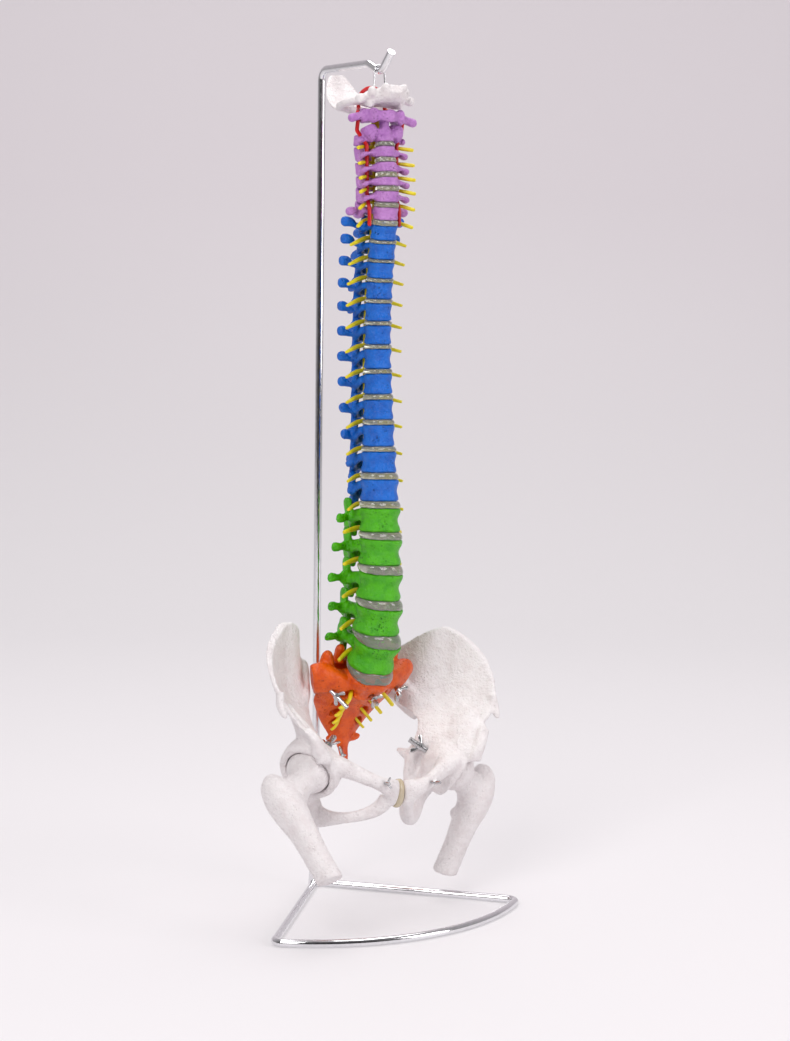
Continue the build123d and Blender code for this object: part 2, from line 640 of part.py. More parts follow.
# Pelvis frame: middle between both hip centres, listing with its right side up.
PELVIS = Location((0, -128, 149), (0, 6.1, 3.0))
HIP_ASIDE = 88.0
HEAD_RADIUS = 22.5
CUP_PLAY = 0.8  # radial gap between the femur's head and its cup
CUP_AXIS = Vector(0.75, -0.45, -0.48).normalized()  # outward, forward and down
HIP_BOLT = 6.0
HINGE_PLAY = 0.05  # radial clearance of the femur on its bolt
BOLT_IN_HEAD = 12.0
SYMPHYSIS_GAP = 8.6


# Sacrum and coccyx, one casting hollowed by the canal and its openings.
CANAL_COURSE = [((0, 26.5, 6), 11.5), ((0, 24.5, -8), 11.0), ((0, 21, -24), 10.0), ((0, 17, -42), 8.5),
    ((0, 12.5, -56), 7.0)]
# Front openings of the sacrum: height, distance aside, front.
OPENINGS = [(-19.0, 22.0, -10.0), (-35.0, 19.0, -6.0), (-49.0, 16.0, -4.0), (-61.0, 13.5, -3.0)]


def sacral_course(play):
    """Lower end of the cord inside the sacrum, with some play around it."""
    stations = [(place, 0.75 * width + 2 * play, 0.75 * width + 2 * play) for place,
        width in CANAL_COURSE]
    return limb(stations)


def sacral_root(k):
    """Both nerves that leave through the front openings number k."""
    z, aside, front = OPENINGS[k]
    behind = blend(25.0, 11.0, (-z - 5) / 55)
    thick = 4.4 - 0.4 * k
    reach = 12.0 - 1.5 * k
    return pair([
        ((1.0, behind, z + 6), thick, thick),
        ((aside * 0.6, blend(behind, front, 0.5), z + 3), thick, thick),
        ((aside, front, z - 1), thick, thick),
        ((aside + reach, front - 0.45 * reach, z - 0.9 * reach), thick, thick),
    ], side=(0, 0, 1))


with BuildPart() as sacrum:
    w, d = SACRUM_BODY
    with BuildPart(mode=Mode.PRIVATE) as crown:
        rows = [(0, RIM), (-2, 1.0), (-10, 0.93), (-22, 0.86)]
        loft(sections=[kidney(Plane.XY.offset(z), w * k, d * k) for z, k in rows])
    pieces = [crown.part]
    pieces.append(limb([
        ((0, 5, -8), 66, 24), ((0, 8, -22), 84, 25), ((0, 9.5, -36), 72, 20), ((0, 8.5, -50), 52, 16),
        ((0, 5, -62), 40, 14), ((0, -1, -73), 30, 11), ((0, -5, -79), 20, 9),
    ], square=1.1))
    pieces += pair([
        ((14, 5, -15), 22, 25), ((30, 7, -14), 24, 24), ((44, 10, -12), 30, 23),
        ((53, 13, -14), 36, 21), ((57, 14, -16), 34, 17),
    ], side=(0, 0, 1), square=1.06)
    pieces.append(limb([
        ((0, 33, -6), 44, 10), ((0, 31, -15), 50, 12), ((0, 28, -28), 48, 13), ((0, 22, -46), 38, 12),
        ((0, 16, -60), 26, 9),
    ], square=1.05))
    pieces.append(limb([
        ((0, 37, -2), 7, 10), ((0, 38, -16), 8, 10), ((0, 34, -34), 8, 10), ((0, 26, -52), 7, 8),
        ((0, 20, -62), 4, 5),
    ]))
    pieces += pair([((20.5, 29, -6), 14, 14), ((22, 31, 3), 10, 10), ((23.5, 31, 10), 8.5, 9),
        ((24, 31, 13), 5, 5)])
    pieces += pair([((38, 22, -9), 20, 18), ((41, 24, 2), 14, 13), ((42.5, 25, 8.5), 9, 9),
        ((43, 25, 11), 5, 5)])
    pieces.append(limb([
        ((0, -4, -77), 17, 9), ((0, -9, -83.5), 17, 8.5), ((0, -15, -89.5), 11, 7),
        ((0, -21, -94), 9, 6.5), ((0, -25, -96.5), 4, 3.5),
    ]))
    pieces += pair([
        ((4, -7, -81.5), 8, 7), ((13, -7, -81), 6, 5.5), ((19, -6, -79), 6.5, 5),
        ((21, -5.5, -78), 3, 3),
    ], side=(0, 0, 1))
    add(pieces)
    add(sacral_course(CORD_PLAY), mode=Mode.SUBTRACT)
    bores = []
    for k, (z, aside, front) in enumerate(OPENINGS):
        bore = 9.5 - 1.1 * k
        behind = blend(25.0, 11.0, (-z - 5) / 55)
        bores += pair([
            ((1, behind, z + 6), bore * 0.7, bore * 0.7),
            ((aside * 0.6, blend(behind, front, 0.5), z + 3), bore * 0.75, bore * 0.8),
            ((aside, front, z - 1), bore, bore * 1.15),
            ((aside + 5, front - 9, z - 5), bore * 1.5, bore * 1.6),
        ], side=(0, 0, 1))
        bores += pair([
            ((aside * 0.72, behind - 1, z + 3), 4.5, 4.5), ((aside * 0.85, behind + 6, z + 2), 5, 5),
            ((aside * 0.95, behind + 22, z), 7.5, 7),
        ], side=(0, 0, 1))
    add(bores, mode=Mode.SUBTRACT)
sacrum_local = sacrum.part

# Hip bone, modelled for the left side and mirrored.
WING_ROWS = [  # height, then the middle line from front to back as (aside, back)
    (12.0, [(94, -36), (88, -16), (78, 6), (66, 26), (58, 40)]),
    (42.0, [(103, -42), (97, -16), (82, 10), (66, 38), (50, 84)]),
    (82.0, [(131, -46), (121, -12), (97, 22), (72, 56), (45, 100)]),
    (118.0, [(146, -48), (135, -12), (103, 24), (78, 60), (50, 104)]),
    (146.0, [(154, -48), (140, -12), (104, 26), (80, 62), (54, 104)]),
]
WING_THICK = [15.0, 8.0, 6.0, 8.0, 9.5]
WING_OUTLINE = [  # (back, up) seen from the side, from the front spine round
    (-37, 55), (-39, 66), (-27, 90), (-8, 112), (14, 131), (30, 138), (52, 133), (76, 114), (93, 95),
    (96, 84),
    (84, 66), (66, 58), (46, 50), (33, 39), (31, 20), (24, 6), (-14, 4), (-32, 14), (-36, 30),
    (-38, 42), (-31, 49),
]


def wing_row(height, line, thick):
    """Closed strip around a middle line at one height."""
    points = [Vector(x, y) for x, y in line]
    outer, inner = [], []
    for i, point in enumerate(points):
        course = (points[min(i + 1, len(points) - 1)] - points[max(i - 1, 0)]).normalized()
        out = Vector(-course.Y, course.X) * (thick / 2)
        outer.append(point + out)
        inner.append(point - out)
    with BuildSketch(Plane.XY.offset(height)) as outline:
        with BuildLine():
            Spline(*outer)
            Line(outer[-1], inner[-1])
            Spline(*inner[::-1])
            Line(inner[0], outer[0])
        make_face()
    return outline.sketch


def cup_plane(shift):
    """Plane across the cup's axis, shifted outward from the hip centre."""
    return Plane(Vector(HIP_ASIDE, 0, 0) + CUP_AXIS * shift, z_dir=CUP_AXIS)


with BuildPart() as hip_bone:
    with BuildPart(mode=Mode.PRIVATE) as wing:
        loft(sections=[wing_row(z, line, thick) for (z, line), thick in zip(WING_ROWS, WING_THICK)])
        with BuildSketch(Plane.YZ):
            with BuildLine():
                Spline(*WING_OUTLINE, periodic=True)
            make_face()
        extrude(amount=220, mode=Mode.INTERSECT)
    with BuildPart(mode=Mode.PRIVATE) as cup:
        with Locations(Vector(HIP_ASIDE, 0, 0) - CUP_AXIS * 2):
            Sphere(HEAD_RADIUS + CUP_PLAY + 7.5)
        with BuildSketch(cup_plane(5.0)):
            Circle(60)
        extrude(amount=60, mode=Mode.SUBTRACT)
    pieces = [wing.part, cup.part]
    pieces.append(limb([  # thick part above the cup
        ((84, 0, 8), 34, 44), ((86, -4, 24), 24, 46), ((92, -8, 42), 15, 40), ((104, -12, 60), 8, 26),
    ]))
    pieces.append(limb([  # front lower spine
        ((95, -24, 20), 16, 16), ((97, -33, 34), 13, 13), ((98, -36, 42), 9, 9),
        ((98.5, -37, 45), 4, 4),
    ]))
    pieces.append(limb([  # front upper spine
        ((122, -34, 76), 9, 14), ((124, -37, 62), 10, 13), ((123.5, -38, 56), 8, 9),
        ((123.5, -38, 53), 4, 4),
    ]))
    pieces.append(limb([  # rough part behind the sacrum's joint
        ((74, 44, 50), 12, 26), ((64, 62, 64), 15, 30), ((56, 78, 78), 15, 30), ((50, 88, 88), 12, 22),
        ((47, 93, 93), 6, 10),
    ]))
    pieces.append(limb([  # front bar to the middle
        ((74, -12, 8), 26, 26), ((56, -24, 4), 17, 17), ((38, -33, -3), 14, 14),
        ((22, -37, -9), 16, 14),
        ((11, -34, -14), 23, 13), ((SYMPHYSIS_GAP / 2, -28, -18), 27, 13),
    ], side=(0, 0, 1), last=(-1, 0, 0)))
    pieces.append(limb([  # lower bar
        ((14, -29.5, -23), 16, 12), ((18, -24, -33), 15, 10), ((30, -11, -43), 12, 8.5),
        ((44, 6, -49), 13, 10), ((56, 20, -50), 22, 16),
    ], side=(0, 0, 1)))
    pieces.append(limb([  # seat bone
        ((80, 16, -4), 32, 34), ((72, 26, -22), 25, 25), ((64, 29, -40), 25, 22),
        ((58, 24, -54), 21, 19), ((55, 20, -60), 10, 9),
    ]))
    pieces.append(limb([  # back edge with its spine
        ((72, 24, 22), 26, 16), ((66, 32, 10), 24, 14), ((64, 34, -6), 22, 14), ((64, 33, -22), 20, 14),
    ]))
    pieces.append(limb([
        ((64, 31, 4), 18, 14), ((57, 38, 8), 12, 7), ((51, 44, 11), 6, 4), ((49.5, 46, 12), 3, 2.5),
    ], side=(0, 0, 1)))
    add(pieces)
    with Locations((HIP_ASIDE, 0, 0)):
        Sphere(HEAD_RADIUS + CUP_PLAY, mode=Mode.SUBTRACT)
    with BuildSketch(cup_plane(4.9)):
        Circle(HEAD_RADIUS + CUP_PLAY - 0.2)
    extrude(amount=30, taper=-18, mode=Mode.SUBTRACT)
hip_local = hip_bone.part

# Femur, modelled for the left side around its head's centre.
with BuildPart() as femur:
    Sphere(HEAD_RADIUS)
    pieces = [
        limb([
            ((7, 0, -5), 30, 31), ((19, 0, -13), 24, 29), ((28, 1, -20), 25, 34),
            ((38, 3, -30), 30, 44),
        ], side=(0, 1, 0)),
        limb([
            ((44, 11, 3), 8, 9), ((43, 10, -1), 18, 18), ((42, 8, -10), 28, 30), ((39, 5, -24), 35, 36),
            ((36, 3, -40), 34, 34),
            ((31, 2, -58), 28, 30), ((27, 1, -80), 25, 26), ((21, 0, -112), 25.5, 26),
        ], last=(0, 0, -1)),
        limb([
            ((30, 7, -50), 20, 16), ((23, 13, -52), 13, 11), ((20, 16, -52.5), 6, 5),
        ], side=(0, 0, 1)),
    ]
    add(pieces)
femur_local = femur.part

# Spinal cord with its nerve roots, one soft moulding inside the canal.
def canal_point(i, up=0.0):
    """Middle of the canal behind disc number i."""
    disc = DISCS[i]
    depth = BODY_SIZES[list(BODY_SIZES)[min(i, len(BODY_SIZES) - 1)]][1]
    spot = Location((disc.x, disc.y, disc.z), (disc.lean, disc.side_list, 0))
    spot = spot * Location((0, depth / 2 + CANAL_BEHIND, up))
    return spot.position


@dataclass
class Root:
    """Nerve stub: how it leaves the canal behind a disc, for both sides."""

    rise: float  # start above the disc's middle
    gap_x: float  # where it passes between the bones
    gap_y: float
    tip: tuple
    thick: float
    thin: float


def root_of(i):
    """Nerve stub at disc number i, in the disc's frame."""
    name = DISCS[i].name
    depth = BODY_SIZES[list(BODY_SIZES)[min(i, len(BODY_SIZES) - 1)]][1]
    if i < 6:
        return Root(0.3, 19.0, depth / 2 + 0.9, (32.0, -2.0, -4.5), 3.6, 3.6)
    if name[0] == "t":
        return Root(1.0, 14.5, depth / 2 + 4.0, (32.5, 7.0, -5.5), 5.0, 3.2)
    return Root(5.5, 0.42 * BODY_SIZES[name[:2]][0], depth / 2 + 3.6, (34.0, 14.0, 1.5), 5.4, 3.8)


def cord_radius(i):
    """Half width of the cord behind disc number i."""
    return 5.2 if i < 6 else 4.0 if i < 16 else 4.5


with BuildPart() as spinal_cord:
    stations = [((0, -101.0, 795.0), 9, 9), ((0, -102.0, 776.0), 10.4, 10.4)]
    for i in range(len(DISCS)):
        point = canal_point(i)
        stations.append(((point.X, point.Y, point.Z), 2 * cord_radius(i), 2 * cord_radius(i)))
    pieces = [limb(stations), SACRUM_PLACE * sacral_course(0)]
    for k in range(len(OPENINGS)):
        pieces += [SACRUM_PLACE * root for root in sacral_root(k)]
    for i, disc in enumerate(DISCS):
        root = root_of(i)
        depth = BODY_SIZES[list(BODY_SIZES)[min(i, len(BODY_SIZES) - 1)]][1]
        start = depth / 2 + CANAL_BEHIND
        near = (1.5, start, root.rise)
        gap = (root.gap_x, root.gap_y, blend(root.rise, root.tip[2], 0.25))
        far = tuple(blend(a, b, 0.8) for a, b in zip(gap, root.tip))
        for stub in pair([
            (near, root.thin, root.thin), (gap, root.thick, root.thick),
            (far, root.thin * 1.1, root.thin * 1.1),
            (root.tip, root.thin, root.thin),
        ], side=(0, 0, 1)):
            pieces.append(Location((disc.x, disc.y, disc.z), (disc.lean, disc.side_list, 0)) * stub)
    add(pieces)
finish(spinal_cord, "spinal_cord")

# Fasteners: screws with wing nuts, all held in the castings.
FASTENER_PLAY = 0.2


def drilled(start, end, diameter):
    """Straight round bar between two places."""
    course = Vector(*end) - Vector(*start)
    with BuildPart(mode=Mode.PRIVATE) as bar:
        with BuildSketch(Plane(Vector(*start), z_dir=course)):
            Circle(diameter / 2)
        extrude(amount=course.length)
    return bar.part


def wing_screw(start, end, diameter, seat, turn=0.0, size=1.0):
    """Screw between two places, with a wing nut seated at a share of its length."""
    course = Vector(*end) - Vector(*start)
    with BuildPart(mode=Mode.PRIVATE) as screw:
        add(drilled(start, end, diameter))
        nut = Plane(Vector(*start) + course * seat, z_dir=course).rotated((0, 0, turn))
        wings = pair([
            ((3.0, 0, 2.4), 4.4, 2.6), ((6.5, 0, 4.4), 4.4, 2.0), ((9.5, 0, 7.0), 5.0, 1.7),
            ((11.0, 0, 8.2), 3.0, 1.4),
        ], side=(0, 0, 1))
        with BuildPart(mode=Mode.PRIVATE) as body_of_nut:
            with BuildSketch():
                Circle(4.6)
            extrude(amount=5.0, taper=8)
            add(wings)
        add(nut.location * scale(body_of_nut.part, by=size, mode=Mode.PRIVATE))
    return screw.part


def at(frame, place):
    """Place given in a frame, as a vector in the shared frame."""
    point = (frame * Location(place)).position
    return (point.X, point.Y, point.Z)


HIP_PLACES = {"right": -1, "left": 1}
hip_centre, cup_axis = {}, {}
for name, s in HIP_PLACES.items():
    hip_centre[name] = Vector(*at(PELVIS, (s * HIP_ASIDE, 0, 0)))
    ahead = Vector(*at(PELVIS, (s * (HIP_ASIDE + CUP_AXIS.X), CUP_AXIS.Y, CUP_AXIS.Z)))
    cup_axis[name] = (ahead - hip_centre[name]).normalized()

SCREWS = [  # frame, inner end, outer end, diameter, nut seat, nut turn, size
    (SACRUM_PLACE, (0, -6, -15), (0, -27, -16), 4.0, 0.57, 40, 0.75),
    (SACRUM_PLACE, (-43, 8, -18), (-34, -24, -20), 4.5, 0.46, 20, 0.8),
    (SACRUM_PLACE, (43, 8, -18), (40, -13, -20), 4.5, 0.6, 60, 0.85),
    (SACRUM_PLACE, (-4, -8, -85), (-5, -24, -90), 3.0, 0.82, 10, 0.4),
    (PELVIS, (-27, -32, -6), (-28, -51, -4), 3.0, 0.78, 80, 0.5),
    (PELVIS, (27, -32, -6), (31, -55, -3), 3.0, 0.62, 35, 0.6),
]
screws = [
    wing_screw(at(frame, start), at(frame, end), size, seat, turn, scale_by)
    for frame, start, end, size, seat, turn, scale_by in SCREWS
]
screw_rooms = [
    drilled(at(frame, start), at(frame, end), size + 2 * FASTENER_PLAY)
    for frame, start, end, size, *_ in SCREWS
]
# Seat of each hip nut, from the head's centre to the inner face behind the cup.
NUT_SEAT = {"right": HEAD_RADIUS + CUP_PLAY + 21.0, "left": HEAD_RADIUS + CUP_PLAY + 15.8}
BOLT_PAST_NUT = 14
for name, seat in NUT_SEAT.items():
    outer = hip_centre[name] + cup_axis[name] * BOLT_IN_HEAD
    inner = hip_centre[name] - cup_axis[name] * (seat + BOLT_PAST_NUT)
    share = (BOLT_IN_HEAD + seat) / (outer - inner).length
    screws.append(wing_screw(tuple(outer), tuple(inner), HIP_BOLT, share, 5, 0.9))

with BuildPart() as fasteners:
    for screw in screws:
        add(screw)
finish(fasteners, "fasteners")


def hip_bore(name, play):
    """Room of one hip bolt with a radial clearance."""
    inner = hip_centre[name] - cup_axis[name] * (NUT_SEAT[name] + BOLT_PAST_NUT + 4)
    outer = hip_centre[name] + cup_axis[name] * (BOLT_IN_HEAD + 1)
    return drilled(tuple(inner), tuple(outer), HIP_BOLT + 2 * play)


with BuildPart() as sacrum_placed:
    with Locations(SACRUM_PLACE):
        add(sacrum_local)
    add(screw_rooms, mode=Mode.SUBTRACT)
finish(sacrum_placed, "sacrum")

for name, s in HIP_PLACES.items():
    with BuildPart() as hip_placed:
        with Locations(PELVIS):
            add(hip_local if s > 0 else mirror(hip_local, about=Plane.YZ, mode=Mode.PRIVATE))
        add(screw_rooms + [hip_bore(name, FASTENER_PLAY)], mode=Mode.SUBTRACT)
    finish(hip_placed, "hip_bone_" + name)

# How each femur hangs, as turns of the left one about its head.
FEMUR_REST = {"right": (-35.0, 6.0, -2.0), "left": (10.2, 1.8, -9.2)}
for name, s in HIP_PLACES.items():
    hung = Location((HIP_ASIDE, 0, 0)) * Rotation(*FEMUR_REST[name]) * femur_local
    with BuildPart() as femur_placed:
        with Locations(PELVIS):
            add(hung if s > 0 else mirror(hung, about=Plane.YZ, mode=Mode.PRIVATE))
        add(hip_bore(name, HINGE_PLAY), mode=Mode.SUBTRACT)
    finish(femur_placed, "femur_" + name)

with BuildPart() as symphysis_disc:
    half_gap = SYMPHYSIS_GAP / 2
    with Locations(PELVIS):
        add(limb([
            ((-half_gap, -28, -18), 12.6, 26.4), ((0, -28.5, -18), 14.5, 29),
            ((half_gap, -28, -18), 12.6, 26.4),
        ], side=(0, 1, 0), first=(1, 0, 0), last=(1, 0, 0)))
finish(symphysis_disc, "symphysis_disc")
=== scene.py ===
"""Looks of a life-size vertebral column with pelvis and femur stumps on its rod stand.

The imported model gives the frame: every piece is made in metres where the solids are, and
rides on the body that carries it. Castings start from the solid's surface, are rounded
where their limbs meet, and get the relief and the pores of cast plastic bone. The femur
stumps are made from stations, and the hip bones' wings, the front of the sacrum and the
arteries of the neck are moved from where the solids have them.
"""

import logging
import math
from dataclasses import dataclass, field
from enum import Enum
from typing import Any

import bmesh
import bpy
import numpy as np
from mathutils import Matrix, Vector, noise


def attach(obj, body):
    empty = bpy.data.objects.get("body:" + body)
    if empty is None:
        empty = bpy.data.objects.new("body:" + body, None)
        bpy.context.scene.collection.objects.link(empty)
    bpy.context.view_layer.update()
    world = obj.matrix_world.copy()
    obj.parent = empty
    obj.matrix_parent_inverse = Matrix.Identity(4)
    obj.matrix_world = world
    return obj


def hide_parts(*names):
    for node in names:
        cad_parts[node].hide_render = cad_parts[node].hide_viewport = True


log = logging.getLogger("spine_model")
MM = 0.001
Rgb = tuple[float, float, float]
Xyz = tuple[float, float, float]
Rgba = tuple[float, float, float, float]
Span = tuple[float, float]


class Region(Enum):
    """Regions of the model, each cast in its own colour."""

    NECK = "cervical_lilac"
    CHEST = "thoracic_blue"
    LOIN = "lumbar_green"
    SACRUM = "sacral_orange"
    PELVIS = "bone_white"


class Shader:
    """A node material under construction."""

    def __init__(self, name: str) -> None:
        """Starts an empty material.

        Args:
            name: Name of the material.
        """
        self.material = bpy.data.materials.new(name)
        self.material.use_nodes = True
        self.nodes = self.material.node_tree.nodes
        self.links = self.material.node_tree.links
        self.nodes.clear()
        self.output = self.nodes.new("ShaderNodeOutputMaterial")

    def node(self, kind: str, settings: dict[str, Any] | None = None, **inputs: Any) -> Any:
        """Adds a node.

        Args:
            kind: Type of the node.
            settings: Properties of the node by name.
            **inputs: Socket values or sockets to link, with _ for a space in the name.

        Returns:
            The new node.
        """
        made = self.nodes.new(kind)
        for key, value in (settings or {}).items():
            setattr(made, key, value)
        for key, value in inputs.items():
            socket = made.inputs[key.replace("_", " ")]
            if isinstance(value, bpy.types.NodeSocket):
                self.links.new(value, socket)
            else:
                socket.default_value = value
        return made

    def ramp(self, factor: Any, stops: list[tuple[float, Rgb]]) -> Any:
        """Adds a colour ramp.

        Args:
            factor: Socket that drives the ramp.
            stops: Places and colours.

        Returns:
            The colour socket.
        """
        made = self.node("ShaderNodeValToRGB", Fac=factor)
        bands = made.color_ramp.elements
        while len(bands) < len(stops):
            bands.new(0.5)
        for band, (place, colour) in zip(bands, stops):
            band.position = place
            band.color = (*colour, 1.0)
        return made.outputs["Color"]

    def bumps(self, layers: list[tuple[Any, float]], distance: float) -> Any:
        """Adds bump nodes on top of each other.

        Args:
            layers: Height sockets, each with its strength.
            distance: Height of a full bump in metres.

        Returns:
            The normal socket.
        """
        normal = None
        for height, strength in layers:
            made = self.node("ShaderNodeBump", Height=height, Strength=strength, Distance=distance)
            if normal is not None:
                self.links.new(normal, made.inputs["Normal"])
            normal = made.outputs["Normal"]
        return normal

    def times(self, first: Any, second: Any) -> Any:
        """Multiplies two values.

        Args:
            first: Socket of the first value.
            second: Socket or number of the second.

        Returns:
            The product's socket.
        """
        made = self.node("ShaderNodeMath", {"operation": "MULTIPLY"})
        self.links.new(first, made.inputs[0])
        if isinstance(second, bpy.types.NodeSocket):
            self.links.new(second, made.inputs[1])
        else:
            made.inputs[1].default_value = second
        return made.outputs["Value"]

    def span(self, value: Any, source: Span, target: Span = (0.0, 1.0)) -> Any:
        """Maps a value from one range to another, clamped.

        Args:
            value: Socket of the value.
            source: Its range.
            target: Range of the outcome.

        Returns:
            The outcome's socket.
        """
        made = self.node("ShaderNodeMapRange", Value=value)
        made.inputs["From Min"].default_value, made.inputs["From Max"].default_value = source
        made.inputs["To Min"].default_value, made.inputs["To Max"].default_value = target
        return made.outputs["Result"]

    def close(self, surface: Any) -> bpy.types.Material:
        """Links the surface shader.

        Args:
            surface: Shader socket.

        Returns:
            The finished material.
        """
        self.links.new(surface, self.output.inputs["Surface"])
        return self.material


@dataclass(frozen=True)
class Finish:
    """A surface finish that belongs to one slot of the record."""

    slot: str
    colour: Rgb

    def make(self) -> bpy.types.Material:
        """Makes the material of this finish."""
        raise NotImplementedError

    def material(self) -> bpy.types.Material:
        """Returns the material, made once."""
        return bpy.data.materials.get("finish_" + self.slot) or self.make()

    def shader(self) -> Shader:
        """Starts the node material of this finish."""
        return Shader("finish_" + self.slot)


@dataclass(frozen=True)
class CastBone(Finish):
    """Cast plastic with the pores and mottling of bone, its pores darkened with painted shade."""

    deep: Rgb = (0.5, 0.5, 0.5)
    gloss: float = 0.27
    shine: float = 0.5
    pores: float = 0.8
    pit_painted_shade: float = 0.55
    relief: float = 1.0
    relief_height: float = 0.0016
    blotch_scale: float = 95.0
    pore_scale: float = 330.0
    pore_edge: Span = (0.10, 0.36)
    patch_scale: float = 75.0
    patch_edge: Span = (0.50, 0.68)
    wrinkle_scale: float = 420.0
    swell_scale: float = 170.0
    bend_of_light: float = 1.45

    def make(self) -> bpy.types.Material:
        """Makes the mottled, pored, slightly glossy plastic, with painted shade in the pores."""
        s = self.shader()
        place = s.node("ShaderNodeTexCoord").outputs["Object"]
        blotch = s.node(
            "ShaderNodeTexNoise", Vector=place, Scale=self.blotch_scale, Detail=5.0, Roughness=0.6
        )
        colour = s.ramp(blotch.outputs["Fac"], [(0.36, self.deep), (0.56, self.colour)])
        pore = s.node("ShaderNodeTexVoronoi", Vector=place, Scale=self.pore_scale, Randomness=1.0)
        hole = s.span(pore.outputs["Distance"], self.pore_edge, (1.0, 0.0))
        patch = s.node("ShaderNodeTexNoise", Vector=place, Scale=self.patch_scale, Detail=3.0)
        holes = s.times(hole, s.span(patch.outputs["Fac"], self.patch_edge))
        # painted shade: the pores in the patches are painted darker, standing in for the shade that falls
        # into them
        shade = s.node("ShaderNodeMix", {"data_type": "RGBA"})
        s.links.new(holes, shade.inputs["Factor"])
        s.links.new(colour, shade.inputs[6])
        shade.inputs[7].default_value = (*[c * self.pit_painted_shade for c in self.deep], 1.0)
        depth = s.times(holes, -1.0)
        wrinkle = s.node(
            "ShaderNodeTexNoise", Vector=place, Scale=self.wrinkle_scale, Detail=3.0, Roughness=0.55
        )
        swell = s.node(
            "ShaderNodeTexNoise", Vector=place, Scale=self.swell_scale, Detail=4.0, Roughness=0.6
        )
        normal = s.bumps(
            [
                (swell.outputs["Fac"], self.relief),
                (wrinkle.outputs["Fac"], self.relief),
                (depth, self.pores),
            ],
            distance=self.relief_height,
        )
        skin = s.node(
            "ShaderNodeBsdfPrincipled", Normal=normal, Roughness=self.gloss, IOR=self.bend_of_light
        )
        s.links.new(shade.outputs[2], skin.inputs["Base Color"])
        skin.inputs["Specular IOR Level"].default_value = self.shine
        return s.close(skin.outputs["BSDF"])


@dataclass(frozen=True)
class ClearCast(Finish):
    """Clear soft plastic with a faint tint and cloudy streaks."""

    clearness: float = 0.8
    haze: Rgb = (0.5, 0.5, 0.45)
    cloud_scale: float = 38.0
    wave_scale: float = 60.0
    wave_strength: float = 0.15
    wave_height: float = 0.0012
    roughness: float = 0.13
    coat: float = 0.4
    coat_roughness: float = 0.08
    bend_of_light: float = 1.45

    def make(self) -> bpy.types.Material:
        """Makes the see-through plastic of the discs."""
        s = self.shader()
        place = s.node("ShaderNodeTexCoord").outputs["Object"]
        cloud = s.node("ShaderNodeTexNoise", Vector=place, Scale=self.cloud_scale, Detail=2.0)
        tint = s.ramp(cloud.outputs["Fac"], [(0.35, self.colour), (0.65, self.haze)])
        wave = s.node("ShaderNodeTexNoise", Vector=place, Scale=self.wave_scale, Detail=1.0)
        normal = s.bumps([(wave.outputs["Fac"], self.wave_strength)], distance=self.wave_height)
        skin = s.node(
            "ShaderNodeBsdfPrincipled", Normal=normal, Roughness=self.roughness, IOR=self.bend_of_light
        )
        s.links.new(tint, skin.inputs["Base Color"])
        skin.inputs["Transmission Weight"].default_value = self.clearness
        skin.inputs["Coat Weight"].default_value = self.coat
        skin.inputs["Coat Roughness"].default_value = self.coat_roughness
        return s.close(skin.outputs["BSDF"])


@dataclass(frozen=True)
class SoftCord(Finish):
    """Soft coloured plastic of the nerves and arteries."""

    deep: Rgb = (0.4, 0.3, 0.0)
    blotch_scale: float = 140.0
    fibre_scale: float = 700.0
    blotch_strength: float = 0.3
    fibre_strength: float = 0.2
    relief_height: float = 0.0008
    roughness: float = 0.36
    bend_of_light: float = 1.48
    glow_share: float = 0.12
    glow_reach: Xyz = (0.003, 0.002, 0.0005)

    def make(self) -> bpy.types.Material:
        """Makes the satin plastic with fine fibres in it."""
        s = self.shader()
        place = s.node("ShaderNodeTexCoord").outputs["Object"]
        blotch = s.node("ShaderNodeTexNoise", Vector=place, Scale=self.blotch_scale, Detail=4.0)
        colour = s.ramp(blotch.outputs["Fac"], [(0.32, self.deep), (0.6, self.colour)])
        fibre = s.node("ShaderNodeTexNoise", Vector=place, Scale=self.fibre_scale, Detail=3.0)
        normal = s.bumps(
            [(blotch.outputs["Fac"], self.blotch_strength), (fibre.outputs["Fac"], self.fibre_strength)],
            distance=self.relief_height,
        )
        skin = s.node(
            "ShaderNodeBsdfPrincipled", Normal=normal, Roughness=self.roughness, IOR=self.bend_of_light
        )
        s.links.new(colour, skin.inputs["Base Color"])
        skin.inputs["Subsurface Weight"].default_value = self.glow_share
        skin.inputs["Subsurface Radius"].default_value = self.glow_reach
        return s.close(skin.outputs["BSDF"])


@dataclass(frozen=True)
class Metal(Finish):
    """Plated or plain steel."""

    roughness: float = 0.06
    scratch: float = 0.02
    scratch_height: float = 0.0004
    wipe_scale: float = 260.0
    wipe_range: Span = (0.3, 0.7)
    wipe_dulling: float = 0.08
    stain_shade: float = 0.9

    def make(self) -> bpy.types.Material:
        """Makes the metal with fine wipe marks in its roughness."""
        s = self.shader()
        place = s.node("ShaderNodeTexCoord").outputs["Object"]
        wipe = s.node(
            "ShaderNodeTexNoise", Vector=place, Scale=self.wipe_scale, Detail=5.0, Roughness=0.7
        )
        mark = wipe.outputs["Fac"]
        rough = s.span(mark, self.wipe_range, (self.roughness, self.roughness + self.wipe_dulling))
        dull = tuple(c * self.stain_shade for c in self.colour)
        stain = s.ramp(mark, [(0.3, dull), (0.6, self.colour)])
        normal = s.bumps([(mark, self.scratch)], distance=self.scratch_height)
        skin = s.node("ShaderNodeBsdfPrincipled", Normal=normal, Roughness=rough, Metallic=1.0)
        s.links.new(stain, skin.inputs["Base Color"])
        return s.close(skin.outputs["BSDF"])


